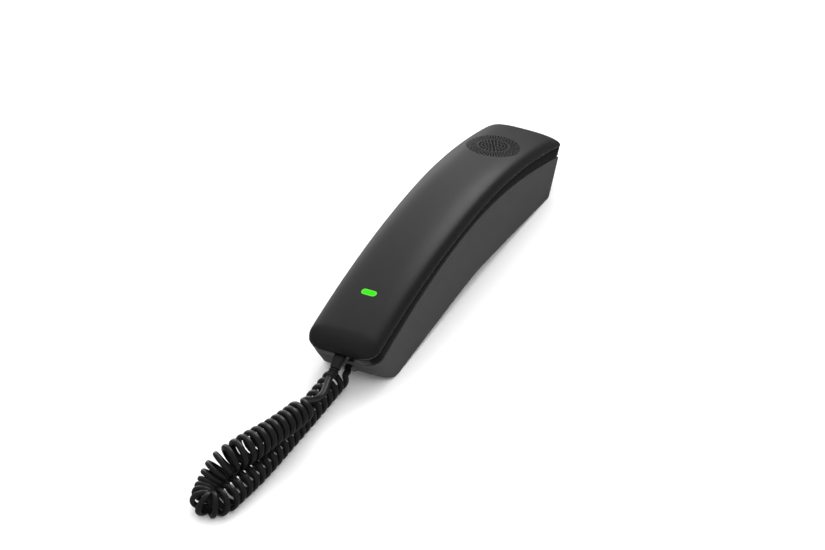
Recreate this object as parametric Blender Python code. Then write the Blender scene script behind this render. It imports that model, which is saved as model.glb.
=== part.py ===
"""Corded desk IP phone: a slim arched handset lying in an arched base, and its coiled cord.

X is the width, +Y points to the earpiece end, -Y to the cord end and +Z is up. The feet
stand on Z = 0 and the origin lies under the middle of the phone. Lengths are in metres.
"""

import math

import bmesh
import bpy
from mathutils import Matrix, Vector

# ---------------------------------------------------------------- driving dimensions
HALF_WIDTH = 0.0210         # handset and base share one width
HALF_LENGTH = 0.1201        # along the line where the handset's two covers meet
GAP = 0.0003                # clearance between neighbouring pieces
WALL = 0.0018               # thickness of the moulded covers

# Arches of the side view: Y and Z of the apex, its radius towards the cord end and towards
# the far end, and the slope that the arch tends to.
PARTING = (0.0140, 0.0446, 0.4650, 0.2800, 1.00)
RIM = (0.0070, 0.0401, 0.2970, 0.2510, 0.50)
UNDERSIDE = (0.0055, 0.0066, 0.1900, 0.1900, 0.08)

# Pairs are for the cord end and the far end.
UNDERCUTS = (0.740, 0.640)              # slope of the ends below the parting line
HANDSET_CORNERS = (0.0085, 0.0036)      # radius of the corners in plan
BASE_CORNERS = (0.0085, 0.0020)
END_FALLS = ((0.0100, 0.0056), (0.0170, 0.0072))    # length and depth of the rounded ends
SHOULDER = 0.0078           # long rounded edges of the back cover
BACK_HEIGHT = 0.0082        # back cover above the parting line
CROWN = 0.0005

FRONT_DEPTH = 0.0098        # handset's inner face below the parting line
BAND_CLEARANCE = 0.0008     # shadow gap between the handset's band and the base's rim
NEST_HALF_WIDTH = 0.0182    # the part of the front cover that sinks into the base
NEST_INSET = 0.0030         # and how far it stays back from both ends

RIM_WALL = 0.0023
TRAY_FLOOR = 0.0020
NEAR_HEEL = 0.0115          # rounded lower end of the base, cord end
FAR_HEEL = 0.0030
COVER_THICKNESS = 0.0020

KEY_PITCH_X = 0.0113
KEY_PITCH_Y = 0.0102
TOP_ROW_Y = 0.0200
KEY_SIZE = (0.0088, 0.0062)
KEY_PROUD = 0.0008
KEY_TRAVEL = 0.0010

GRILLE_Y = 0.0724
GRILLE_PITCH = 0.0044
LENS_Y = -0.0832
LENS_SIZE = (0.0090, 0.0044)

BOARD_Z = 0.0158
BOARD_THICKNESS = 0.0012
HOOK_Y = 0.0600
HOOK_TRAVEL = 0.0030

COIL_DIAMETER = 0.0136
LEAD_DIAMETER = 0.0034

# The coiled cord's own centre line, from its handset end round the loop to its base end.
COIL_ROUTE = (
    (0.0034, -0.1690, 0.0213), (0.0022, -0.1790, 0.0214), (0.0002, -0.1885, 0.0214),
    (-0.0022, -0.1980, 0.0214), (-0.0049, -0.2075, 0.0215), (-0.0082, -0.2165, 0.0213),
    (-0.0118, -0.2235, 0.0202), (-0.0148, -0.2285, 0.0175), (-0.0169, -0.2325, 0.0138),
    (-0.0180, -0.2362, 0.0100), (-0.0178, -0.2405, 0.0078), (-0.0155, -0.2447, 0.0071),
    (-0.0112, -0.2468, 0.0070), (-0.0066, -0.2450, 0.0070), (-0.0040, -0.2408, 0.0070),
    (-0.0036, -0.2350, 0.0070), (-0.0032, -0.2270, 0.0070), (-0.0027, -0.2150, 0.0070),
    (-0.0024, -0.2000, 0.0070), (-0.0024, -0.1800, 0.0070), (-0.0024, -0.1600, 0.0070),
    (-0.0025, -0.1400, 0.0070), (-0.0028, -0.1180, 0.0070),
)
HANDSET_LEAD_ROUTE = (
    (0.0000, -0.1307, 0.0169), (0.0005, -0.1338, 0.0165), (0.0017, -0.1386, 0.0162),
    (0.0030, -0.1447, 0.0164), (0.0031, -0.1500, 0.0171), (0.0028, -0.1560, 0.0192),
    (0.0026, -0.1620, 0.0219), (0.0028, -0.1679, 0.0235),
)
BASE_LEAD_ROUTE = (
    (0.0, -0.1080, 0.0100), (-0.0003, -0.1110, 0.0099), (-0.0014, -0.1142, 0.0090),
    (-0.0024, -0.1168, 0.0080),
)
# Strain relief: Y, Z, width and thickness along its curved centre line.
RELIEF_SECTIONS = (
    (-0.1130, 0.0252, 0.0090, 0.0034), (-0.1150, 0.0242, 0.0090, 0.0034),
    (-0.1150, 0.0242, 0.0062, 0.0034), (-0.1191, 0.0220, 0.0062, 0.0036),
    (-0.1243, 0.0189, 0.0056, 0.0034), (-0.1275, 0.0177, 0.0048, 0.0032),
    (-0.1300, 0.0171, 0.0042, 0.0030),
)

KEY_ROWS = (("1", "2", "3"), ("4", "5", "6"), ("7", "8", "9"), ("star", "0", "hash"),
            ("volume_down", "mute", "volume_up"))


# ---------------------------------------------------------------- shapes of the side view
def arch(y, curve):
    """Height of an arch at y: a hyperbola that is round at its apex."""
    apex_y, apex_z, near_radius, far_radius, slope = curve
    reach = slope * (near_radius if y < apex_y else far_radius)
    return apex_z - slope * (math.hypot(reach, y - apex_y) - reach)


def incline(y, curve):
    """Angle of an arch at y, positive where it falls towards the far end."""
    step = 0.0005
    return math.atan((arch(y - step, curve) - arch(y + step, curve)) / (2 * step))


def slanted(t, x, z):
    """Point of station t at height z. Stations fan out, so that both ends are slanted."""
    below = max(0.0, arch(t * HALF_LENGTH, PARTING) - z)
    undercut = UNDERCUTS[0] if t < 0 else UNDERCUTS[1]
    return Vector((x, t * (HALF_LENGTH - undercut * below), z))


def height(t, curve, offset=0.0):
    """Height at which station t meets an arch that is shifted by offset."""
    z = arch(t * HALF_LENGTH, curve) + offset
    for _ in range(8):
        z = arch(slanted(t, 0.0, z).y, curve) + offset
    return z


def fall(distance, length, depth=None):
    """How far an elliptic end of this length and depth falls back, at a distance from the end."""
    if distance >= length:
        return 0.0
    share = 1.0 - max(0.0, distance) / length
    return (length if depth is None else depth) * (1.0 - math.sqrt(1.0 - share ** 2))


def stations(insets, lengths, steps=5, spacing=0.0125):
    """Station numbers from the cord end, -1, to the far end, +1, closer where the ends fall."""
    near = -1.0 + insets[0] / HALF_LENGTH
    far = 1.0 - insets[1] / HALF_LENGTH
    shares = [(1 - math.cos(math.pi / 2 * k / steps)) / HALF_LENGTH for k in range(steps + 1)]
    first = near + lengths[0] * shares[-1]
    last = far - lengths[1] * shares[-1]
    count = max(1, round((last - first) * HALF_LENGTH / spacing))
    middle = [first + (last - first) * k / count for k in range(1, count)]
    return ([near + lengths[0] * s for s in shares] + middle
            + [far - lengths[1] * s for s in reversed(shares)])


def from_ends(t, insets):
    """Distances of a station from the cord end and from the far end."""
    return (t + 1) * HALF_LENGTH - insets[0], (1 - t) * HALF_LENGTH - insets[1]


# ---------------------------------------------------------------- mesh helpers
def material(name, colour, roughness, metallic=0.0):
    """A Principled material."""
    mat = bpy.data.materials.new(name)
    mat.use_nodes = True
    shader = mat.node_tree.nodes["Principled BSDF"]
    shader.inputs["Base Color"].default_value = (*colour, 1.0)
    shader.inputs["Roughness"].default_value = roughness
    shader.inputs["Metallic"].default_value = metallic
    mat.diffuse_color = (*colour, 1.0)
    return mat


def finish(bm, name, mat=None):
    """Turn a bmesh into an object. Without a material it is a cutter or a guide."""
    bmesh.ops.recalc_face_normals(bm, faces=bm.faces)
    mesh = bpy.data.meshes.new(name)
    bm.to_mesh(mesh)
    bm.free()
    obj = bpy.data.objects.new(name, mesh)
    bpy.context.scene.collection.objects.link(obj)
    if mat is None:
        obj.hide_render = True
        obj.display_type = "WIRE"
    else:
        mesh.materials.append(mat)
        mesh.shade_smooth()
        mesh.set_sharp_from_angle(angle=math.radians(35))
    return obj


def add_loft(bm, rings):
    """Join closed rings of points, which all have the same count, into a capped solid."""
    rows = [[bm.verts.new(point) for point in ring] for ring in rings]
    count = len(rows[0])
    for row, following in zip(rows, rows[1:]):
        for k in range(count):
            bm.faces.new((row[k], row[(k + 1) % count], following[(k + 1) % count], following[k]))
    bm.faces.new(rows[0])
    bm.faces.new(rows[-1])


def loft(name, rings, mat=None):
    """A solid through a list of rings."""
    bm = bmesh.new()
    add_loft(bm, rings)
    return finish(bm, name, mat)


def add_box(bm, centre, size, tilt=0.0):
    """A box, turned by tilt about X."""
    matrix = Matrix.Translation(centre) @ Matrix.Rotation(tilt, 4, "X") @ Matrix.Diagonal((*size, 1.0))
    bmesh.ops.create_cube(bm, size=1.0, matrix=matrix)


def add_cylinder(bm, centre, diameter, depth, segments=16, tilt=0.0):
    """A cylinder along Z, turned by tilt about X."""
    matrix = Matrix.Translation(centre) @ Matrix.Rotation(tilt, 4, "X")
    bmesh.ops.create_cone(bm, cap_ends=True, segments=segments, radius1=diameter / 2,
                          radius2=diameter / 2, depth=depth, matrix=matrix)


def box(name, centre, size, mat=None, tilt=0.0):
    """One box as an object."""
    bm = bmesh.new()
    add_box(bm, centre, size, tilt)
    return finish(bm, name, mat)


def turned(name, profile, place, mat=None, segments=16):
    """A piece turned about its own Z. profile lists (radius, height), place is a matrix."""
    rings = []
    for radius, level in profile:
        ring = []
        for k in range(segments):
            angle = 2 * math.pi * k / segments
            ring.append(place @ Vector((radius * math.cos(angle), radius * math.sin(angle), level)))
        rings.append(ring)
    return loft(name, rings, mat)


def stepped(name, levels, place, mat):
    """A piece of rectangular steps. levels lists (width, depth, height), place is a matrix."""
    rings = []
    for width, depth, level in levels:
        corners = ((-1, -1), (1, -1), (1, 1), (-1, 1))
        rings.append([place @ Vector((sx * width / 2, sy * depth / 2, level)) for sx, sy in corners])
    return loft(name, rings, mat)


def combine(obj, tool, operation="DIFFERENCE"):
    """Cut a tool from an object, or unite the two."""
    modifier = obj.modifiers.new(tool.name, "BOOLEAN")
    modifier.operation = operation
    modifier.solver = "EXACT"
    modifier.object = tool


def face_place(y, offset=0.0, level=-FRONT_DEPTH):
    """Place on the handset's inner face at y, with local Z pointing into the handset."""
    angle = incline(y, PARTING)
    normal = Vector((0.0, math.sin(angle), math.cos(angle)))
    centre = Vector((0.0, y, arch(y, PARTING) + level)) + normal * offset
    return Matrix.Translation(centre) @ Matrix.Rotation(-angle, 4, "X")


def back_place(y, offset=0.0):
    """Place on the top of the handset's back at y, with local Z pointing outwards."""
    return face_place(y, offset, BACK_HEIGHT)


# ---------------------------------------------------------------- families of arched solids
def slab_rings(top, bottom, half_width, insets=(0.0, 0.0), corners=(0.003, 0.003), edge=0.0,
               heels=(0.0, 0.0)):
    """Rings of an arched slab between two arches, each given as (curve, offset)."""
    rings = []
    for t in stations(insets, [max(pair) for pair in zip(corners, heels)]):
        ends = from_ends(t, insets)
        w = half_width - sum(map(fall, ends, corners))
        high = height(t, *top)
        low = height(t, *bottom) + sum(fall(d, h) for d, h in zip(ends, heels) if h)
        outline = [(-w, high), (-w, low + edge), (w, low + edge), (w, high)]
        if edge > 0:
            outline[2:2] = [(-w + edge, low), (w - edge, low)]
        rings.append([slanted(t, x, z) for x, z in outline])
    return rings


def back_rings(inset, drop=0.0):
    """Rings of the back cover's crowned section, made smaller by inset for its hollow."""
    insets = (inset, inset)
    corners = [radius - inset for radius in HANDSET_CORNERS]
    falls = [(length - inset, depth - inset) for length, depth in END_FALLS]
    steps = 4
    rings = []
    for t in stations(insets, [pair[0] for pair in falls], 6):
        ends = from_ends(t, insets)
        w = HALF_WIDTH - inset - sum(map(fall, ends, corners))
        top = BACK_HEIGHT - inset - sum(fall(d, *pair) for d, pair in zip(ends, falls))
        shoulder = min(SHOULDER - inset, top - CROWN)
        low = height(t, PARTING, GAP / 2)
        right = [(w, -drop)] if drop else []
        for k in range(steps + 1):
            angle = math.pi / 2 * k / steps
            right.append((w - shoulder * (1 - math.cos(angle)), top - CROWN - shoulder * (1 - math.sin(angle))))
        half = right + [((w - shoulder) / 2, top - CROWN / 4)]
        outline = half + [(0.0, top)] + [(-x, z) for x, z in reversed(half)]
        rings.append([slanted(t, x, low + z) for x, z in outline])
    return rings


# ---------------------------------------------------------------- base
def make_base(plastic, dark, steel, green_board, rubber, nickel):
    """Housing, bottom cover, feet, screws, board, jacks and the hook switch."""
    housing = loft("base_housing", slab_rings((RIM, 0.0), (UNDERSIDE, 0.0), HALF_WIDTH,
                                              corners=BASE_CORNERS, edge=0.0003,
                                              heels=(NEAR_HEEL, FAR_HEEL)), plastic)
    tray_top = (PARTING, 0.0)
    tray_bottom = (PARTING, -FRONT_DEPTH - 0.0006)
    tray = loft("tray_cutter", slab_rings(tray_top, tray_bottom, HALF_WIDTH - RIM_WALL,
                                          (RIM_WALL, RIM_WALL), (0.0062, 0.0020)))
    cavity_top = (PARTING, -FRONT_DEPTH - 0.0006 - TRAY_FLOOR)
    cavity = loft("cavity_cutter", slab_rings(cavity_top, (UNDERSIDE, -0.004), HALF_WIDTH - 0.0022,
                                              (0.0105, 0.0032)))
    combine(housing, tray)
    combine(housing, cavity)
    keys_inset = HALF_LENGTH - 0.0275
    recess_bottom = (PARTING, -FRONT_DEPTH - 0.0006 - KEY_PROUD)
    combine(housing, loft("key_recess", slab_rings((PARTING, -0.004), recess_bottom, 0.0172,
                                                   (keys_inset, keys_inset))))
    combine(housing, box("cord_jack_pocket", (0.0, -0.0942, 0.0095), (0.0122, 0.0142, 0.0136)))

    posts = bmesh.new()
    drill = bmesh.new()
    notches = bmesh.new()
    for x, y in BASE_SCREWS:
        roof = arch(y, PARTING) - FRONT_DEPTH - 0.0010
        floor = arch(y, UNDERSIDE) + COVER_THICKNESS + 3 * GAP
        add_cylinder(posts, (x, y, (roof + floor) / 2), 0.0056, roof - floor, 12)
        add_cylinder(drill, (x, y, floor + 0.0040), 0.0026, 0.0100, 8)
        add_cylinder(notches, (x, y, BOARD_Z), 0.0068, 0.010, 12)
    combine(housing, finish(posts, "screw_posts"), "UNION")
    combine(housing, finish(drill, "screw_post_drill"))

    hook = face_place(HOOK_Y).to_translation()
    combine(housing, box("hook_opening", (0.0, HOOK_Y, hook.z - 0.002), (0.0086, 0.0066, 0.012)))
    mouths = bmesh.new()
    for x in (-JACK_X, JACK_X):
        add_box(mouths, (x, 0.1120, JACK_Z), (JACK_SIZE[0] + GAP, 0.0160, JACK_SIZE[2] + GAP))
    add_box(mouths, (0.0, -0.1080, 0.0100), (0.0088, 0.0160, 0.0078))
    combine(housing, finish(mouths, "jack_mouths"))

    cover = loft("base_bottom_cover",
                 slab_rings((UNDERSIDE, COVER_THICKNESS + 0.0002), (UNDERSIDE, 0.0002),
                            HALF_WIDTH - 0.0022 - GAP, (0.0105 + GAP, 0.0032 + GAP)), dark)
    holes = bmesh.new()
    sinks = bmesh.new()
    for x, y in BASE_SCREWS:
        level = arch(y, UNDERSIDE)
        add_cylinder(holes, (x, y, level), 0.0028, 0.012, 10)
        add_cylinder(sinks, (x, y, level - 0.0010), 0.0058, 0.0046, 12)
    combine(cover, finish(holes, "cover_holes"))
    combine(cover, finish(sinks, "screw_head_sinks"))
    pockets = bmesh.new()
    for x, y in FEET:
        add_cylinder(pockets, (x, y, 0.0), 0.0096, 0.0038, 16)
    combine(cover, finish(pockets, "foot_pockets"))

    for number, (x, y) in enumerate(FEET, 1):
        turned(f"foot_{number}", ((0.0040, 0.0), (0.0045, 0.0004), (0.0045, 0.0016)),
               Matrix.Translation((x, y, 0.0)), rubber)
    for number, (x, y) in enumerate(BASE_SCREWS, 1):
        level = arch(y, UNDERSIDE)
        profile = ((0.0023, 0.0), (0.0025, 0.0003), (0.0025, 0.0009), (0.0010, 0.0009), (0.0010, 0.0078))
        turned(f"base_screw_{number}", profile, Matrix.Translation((x, y, level)), nickel, 12)

    board = box("main_board", (0.0, 0.0000, BOARD_Z + BOARD_THICKNESS / 2),
                (0.0340, 0.2000, BOARD_THICKNESS), green_board)
    combine(board, finish(notches, "board_notches"))
    box("ballast_plate", (0.0, 0.0027, 0.0106), (0.0320, 0.0900, 0.0026), steel)
    make_jacks(dark)
    make_hook_switch(dark, nickel)


BASE_SCREWS = ((-0.0136, -0.0700), (0.0136, -0.0700), (-0.0136, 0.0760), (0.0136, 0.0760))
FEET = ((-0.0120, -0.0850), (0.0120, -0.0850), (-0.0120, 0.0900), (0.0120, 0.0900))
JACK_SIZE = (0.0160, 0.0150, 0.0108)
JACK_X = 0.0084
JACK_Z = BOARD_Z - GAP - JACK_SIZE[2] / 2
JACK_FACE_Y = 0.1010


def make_jacks(dark):
    """Two network jacks at the far end and the cord's jack, all hanging under the board."""
    width, depth, tall = JACK_SIZE
    for name, x in (("network_jack", -JACK_X), ("computer_jack", JACK_X)):
        jack = box(name, (x, JACK_FACE_Y - depth / 2, JACK_Z), (width, depth, tall), dark)
        combine(jack, box(f"{name}_socket", (x, JACK_FACE_Y - 0.0050, JACK_Z - 0.0004),
                          (0.0118, 0.0140, 0.0078)))
    jack = box("cord_jack", (0.0, -0.0945, BOARD_Z - GAP - 0.0056), (0.0114, 0.0130, 0.0112), dark)
    combine(jack, box("cord_jack_socket", (0.0, -0.0970, 0.0100), (0.0082, 0.0140, 0.0072)))


def make_hook_switch(dark, nickel):
    """The plunger that the handset holds down, its spring and the switch that it works."""
    face = face_place(HOOK_Y).to_translation().z
    roof = face - 0.0006 - TRAY_FLOOR
    collar = roof - HOOK_TRAVEL - 5 * GAP       # the roof slants across the collar's depth
    place = Matrix.Translation((0.0, HOOK_Y, 0.0))
    board_top = BOARD_Z + BOARD_THICKNESS
    levels = ((0.0026, 0.0026, board_top + 0.0012), (0.0026, 0.0026, collar - 0.0012),
              (0.0110, 0.0088, collar - 0.0012), (0.0110, 0.0088, collar),
              (0.0078, 0.0058, collar), (0.0078, 0.0058, face - 0.0013), (0.0066, 0.0046, face - 0.0009))
    stepped("hook_plunger", levels, place, dark)

    turns = 4
    low, high = board_top + 0.0006, collar - 0.0012 - 0.0006
    rings = []
    for k in range(turns * 12 + 1):
        angle = 2 * math.pi * k / 12
        out = Vector((math.cos(angle), math.sin(angle), 0.0))
        level = low + (high - low) * k / (turns * 12)
        centre = Vector((0.0, HOOK_Y, level)) + out * 0.0026
        ring = [centre + 0.0003 * (math.cos(a) * out + Vector((0.0, 0.0, math.sin(a))))
                for a in (math.pi * j / 3 for j in range(6))]
        rings.append(ring)
    loft("hook_spring", rings, nickel)
    box("hook_switch", (0.0104, HOOK_Y, board_top + GAP + 0.0024), (0.0064, 0.0128, 0.0048), dark)


# ---------------------------------------------------------------- handset
def make_handset(plastic, gloss, dark, steel, green_board, rubber, nickel, green, silver):
    """Both covers and everything between them."""
    back = loft("handset_back_cover", back_rings(0.0), plastic)
    combine(back, loft("back_hollow", back_rings(WALL, 0.0020)))
    holes = bmesh.new()
    for ring in range(4):
        for k in range(max(1, 6 * ring)):
            angle = 2 * math.pi * k / max(1, 6 * ring)
            x = GRILLE_PITCH * ring * math.cos(angle)
            y = GRILLE_Y + GRILLE_PITCH * ring * math.sin(angle)
            tilt = -incline(y, PARTING)
            centre = back_place(y, -WALL / 2).to_translation() + Vector((x, 0.0, 0.0))
            add_cylinder(holes, centre, 0.0018, 0.0060, 6, tilt)
    combine(back, finish(holes, "grille_holes"))
    window = back_place(LENS_Y, -WALL / 2)
    tilt = -incline(LENS_Y, PARTING)
    combine(back, box("lens_window", window.to_translation(), (LENS_SIZE[0], LENS_SIZE[1], 0.006), None, tilt))

    band_low = (RIM, BAND_CLEARANCE)
    front = loft("handset_front_cover", slab_rings((PARTING, -GAP / 2), band_low, HALF_WIDTH - GAP,
                                                   corners=HANDSET_CORNERS), gloss)
    nest_insets = (NEST_INSET, NEST_INSET)
    nest = loft("front_nest", slab_rings((PARTING, -0.0012), (PARTING, -FRONT_DEPTH), NEST_HALF_WIDTH,
                                         nest_insets, (0.0055, 0.0030), edge=0.0012))
    combine(front, nest, "UNION")
    room_insets = (NEST_INSET + WALL, NEST_INSET + WALL)
    room = loft("front_room", slab_rings((PARTING, 0.0030), (PARTING, -FRONT_DEPTH + WALL),
                                         NEST_HALF_WIDTH - WALL, room_insets, (0.0040, 0.0020)))
    combine(front, room)

    openings = bmesh.new()
    for row, col, _ in keys():
        place = key_place(row, col)
        tilt = -incline(place.to_translation().y, PARTING)
        size = (KEY_SIZE[0] + 2 * GAP, KEY_SIZE[1] + 2 * GAP, 0.006)
        add_box(openings, place.to_translation(), size, tilt)
    for x in (-0.0050, 0.0, 0.0050):
        ear = face_place(0.0900)
        add_box(openings, ear.to_translation() + Vector((x, 0.0, 0.0)), (0.0014, 0.0120, 0.008),
                -incline(0.0900, PARTING))
    mouth = face_place(-0.0980)
    add_cylinder(openings, mouth.to_translation(), 0.0022, 0.008, 8, -incline(-0.0980, PARTING))
    combine(front, finish(openings, "front_openings"))
    angle = math.atan(0.54)
    combine(front, box("cord_opening", (0.0, -0.1172, 0.0230), (0.0070, 0.0120, 0.0044), None, angle))
    combine(front, box("cord_flange_pocket", (0.0, -0.1138, 0.0247), (0.0098, 0.0036, 0.0048), None, angle))

    posts = bmesh.new()
    drill = bmesh.new()
    sinks = bmesh.new()
    for y in HANDSET_SCREWS:
        place = face_place(y)
        tilt = -incline(y, PARTING)
        middle = (place @ Matrix.Translation((0.0, 0.0, 0.0052))).to_translation()
        add_cylinder(posts, middle, 0.0056, 0.0084, 12, tilt)
        add_cylinder(drill, middle, 0.0026, 0.0160, 8, tilt)
        add_cylinder(sinks, place.to_translation(), 0.0046, 0.0032, 12, tilt)
    combine(front, finish(posts, "handset_screw_posts"), "UNION")
    combine(front, finish(drill, "handset_screw_drill"))
    combine(front, finish(sinks, "handset_screw_sinks"))
    for number, y in enumerate(HANDSET_SCREWS, 1):
        profile = ((0.0018, 0.0003), (0.0020, 0.0006), (0.0020, 0.0012), (0.0009, 0.0012), (0.0009, 0.0098))
        turned(f"handset_screw_{number}", profile, face_place(y), nickel, 12)

    lens = box("status_lens", (back_place(LENS_Y, -0.0010)).to_translation(),
               (LENS_SIZE[0] - 2 * GAP, LENS_SIZE[1] - 2 * GAP, 0.0020), green, tilt)
    bevel = lens.modifiers.new("corner_rounding", "BEVEL")
    bevel.width = 0.0006
    bevel.segments = 2

    place = back_place(GRILLE_Y, -WALL - 3 * GAP)
    washer("ringer_gasket", 0.0125, 0.0140, 0.0008, place, rubber)
    speaker = ((0.0070, -0.0062), (0.0070, -0.0040), (0.0138, -0.0030), (0.0138, -0.0012),
               (0.0122, -0.0012))
    turned("ringer_speaker", speaker, place, steel, 24)

    ear = face_place(0.0900, WALL + 1.5 * GAP)
    washer("earpiece_gasket", 0.0085, 0.0100, 0.0008, ear @ Matrix.Translation((0.0, 0.0, 0.0008)), rubber)
    turned("earpiece_receiver", ((0.0098, 0.0011), (0.0098, 0.0034), (0.0060, 0.0034), (0.0060, 0.0048)),
           ear, steel, 24)
    mouth = face_place(-0.0980, WALL + GAP)
    washer("microphone_boot", 0.0032, 0.0046, 0.0036, mouth @ Matrix.Translation((0.0, 0.0, 0.0036)), rubber)
    turned("microphone", ((0.0029, 0.0004), (0.0029, 0.0030)), mouth, silver, 16)

    box("handset_board", (0.0, -0.0140, 0.0404), (0.0310, 0.0900, 0.0012), green_board)
    box("keypad_membrane", (0.0, -0.0040, 0.0392), (0.0310, 0.0600, 0.0008), rubber)
    box("counterweight", back_place(0.0200, -WALL - 0.0030).to_translation(), (0.0220, 0.0500, 0.0026), steel,
        -incline(0.0200, PARTING))
    box("status_led", (0.0, LENS_Y + 0.0010, 0.0388), (0.0032, 0.0028, 0.0016), green)

    for row, col, name in keys():
        make_key(row, col, name, dark)


HANDSET_SCREWS = (-0.0660, 0.0580)


def washer(name, inner, outer, tall, place, mat, segments=20):
    """A flat washer whose top face lies at its place's origin."""
    bm = bmesh.new()
    loops = []
    for radius, level in ((inner, 0.0), (outer, 0.0), (outer, -tall), (inner, -tall)):
        loop = []
        for k in range(segments):
            angle = 2 * math.pi * k / segments
            loop.append(bm.verts.new(place @ Vector((radius * math.cos(angle), radius * math.sin(angle), level))))
        loops.append(loop)
    for loop, following in zip(loops, loops[1:] + loops[:1]):
        for k in range(segments):
            nxt = (k + 1) % segments
            bm.faces.new((loop[k], loop[nxt], following[nxt], following[k]))
    return finish(bm, name, mat)


def keys():
    """Row, column and name of every key."""
    return [(row, col, name) for row, names in enumerate(KEY_ROWS) for col, name in enumerate(names)]


def key_place(row, col):
    """Place of a key on the handset's inner face."""
    return Matrix.Translation(((1 - col) * KEY_PITCH_X, 0.0, 0.0)) @ face_place(TOP_ROW_Y - row * KEY_PITCH_Y)


def make_key(row, col, name, mat):
    """A key: its cap, the collar that keeps it in the cover and its stem."""
    place = key_place(row, col)
    width, depth = KEY_SIZE
    inner = WALL + GAP
    stem_end = (0.0392 - 0.0004 - KEY_TRAVEL - 2 * GAP) - place.to_translation().z
    levels = ((width - 0.0012, depth - 0.0012, -KEY_PROUD), (width, depth, -KEY_PROUD + 0.0004),
              (width, depth, inner), (width + 0.0010, depth + 0.0016, inner),
              (width + 0.0010, depth + 0.0016, inner + 0.0005), (0.0026, 0.0026, inner + 0.0005),
              (0.0026, 0.0026, max(stem_end, inner + 0.0008)))
    stepped(f"key_{name}", levels, place, mat)


# ---------------------------------------------------------------- cord
def smooth_route(points, step):
    """Evenly spaced points on a Catmull-Rom curve through a route's own points."""
    route = [Vector(p) for p in points]
    route = [2 * route[0] - route[1]] + route + [2 * route[-1] - route[-2]]
    fine = []
    for a, b, c, d in zip(route, route[1:], route[2:], route[3:]):
        for k in range(24):
            u = k / 24
            fine.append(0.5 * (2 * b + (c - a) * u + (2 * a - 5 * b + 4 * c - d) * u ** 2
                               + (3 * b - a - 3 * c + d) * u ** 3))
    fine.append(route[-2])
    lengths = [0.0]
    for a, b in zip(fine, fine[1:]):
        lengths.append(lengths[-1] + (b - a).length)
    count = max(2, round(lengths[-1] / step))
    even = []
    index = 0
    for k in range(count + 1):
        target = lengths[-1] * k / count
        while index < len(fine) - 2 and lengths[index + 1] < target:
            index += 1
        span = lengths[index + 1] - lengths[index]
        even.append(fine[index].lerp(fine[index + 1], (target - lengths[index]) / span))
    return even


def tube(name, points, diameter, resolution, step, mat):
    """A round tube along a route, as a curve with filled caps."""
    curve = bpy.data.curves.new(name, "CURVE")
    curve.dimensions = "3D"
    curve.bevel_depth = diameter / 2
    curve.bevel_resolution = resolution
    curve.use_fill_caps = True
    spline = curve.splines.new("POLY")
    route = smooth_route(points, step)
    spline.points.add(len(route) - 1)
    for point, place in zip(spline.points, route):
        point.co = (*place, 1.0)
    obj = bpy.data.objects.new(name, curve)
    bpy.context.scene.collection.objects.link(obj)
    curve.materials.append(mat)


def make_cord(rubber, clear):
    """Strain relief, the two straight leads, the coiled stretch and the plug in the base."""
    rings = []
    for index, (y, z, width, thick) in enumerate(RELIEF_SECTIONS):
        before = RELIEF_SECTIONS[max(0, index - (1 if index > 3 else 2))]
        after = RELIEF_SECTIONS[min(len(RELIEF_SECTIONS) - 1, index + 1)]
        along = Vector((0.0, after[0] - before[0], after[1] - before[1])).normalized()
        across = Vector((0.0, -along.z, along.y))
        corners = ((-1, -0.5), (-0.7, -1), (0.7, -1), (1, -0.5), (1, 0.5), (0.7, 1), (-0.7, 1), (-1, 0.5))
        centre = Vector((0.0, y, z))
        rings.append([centre + Vector((sx * width / 2, 0.0, 0.0)) + across * (sy * thick / 2)
                      for sx, sy in corners])
    loft("cord_strain_relief", rings, rubber)
    tube("cord_handset_lead", HANDSET_LEAD_ROUTE, LEAD_DIAMETER, 2, 0.0050, rubber)
    tube("cord_coil", COIL_ROUTE, COIL_DIAMETER, 4, 0.0045, rubber)
    tube("cord_base_lead", BASE_LEAD_ROUTE, LEAD_DIAMETER, 2, 0.0050, rubber)
    box("cord_plug", (0.0, -0.1014, 0.0100), (0.0074, 0.0120, 0.0064), clear)


def main():
    """Build every piece."""
    for obj in list(bpy.data.objects):
        bpy.data.objects.remove(obj, do_unlink=True)
    plastic = material("matt_black_plastic", (0.030, 0.030, 0.031), 0.45)
    gloss = material("gloss_black_plastic", (0.010, 0.010, 0.011), 0.15)
    grey = material("dark_grey_plastic", (0.055, 0.055, 0.056), 0.55)
    dark = material("black_plastic", (0.020, 0.020, 0.020), 0.5)
    steel = material("steel", (0.45, 0.45, 0.46), 0.4, 1.0)
    nickel = material("nickel", (0.62, 0.61, 0.58), 0.3, 1.0)
    board = material("circuit_board", (0.02, 0.13, 0.05), 0.5)
    rubber = material("black_rubber", (0.016, 0.016, 0.017), 0.6)
    green = material("green_lens", (0.05, 0.75, 0.0), 0.3)
    silver = material("aluminium_can", (0.7, 0.7, 0.7), 0.3, 1.0)
    clear = material("clear_plug", (0.35, 0.35, 0.36), 0.2)
    make_base(grey, dark, steel, board, rubber, nickel)
    make_handset(plastic, gloss, dark, steel, board, rubber, nickel, green, silver)
    make_cord(rubber, clear)


main()
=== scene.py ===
"""Looks of the corded desk phone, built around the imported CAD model. Lengths are in metres.

X is the width, +Y points to the earpiece end and -Y to the cord end. The finer covers repeat
the CAD model's own arches and plans, so every piece lies where its CAD solid lies.
"""

import math

import bmesh
import bpy
from mathutils import Matrix, Vector


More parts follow.
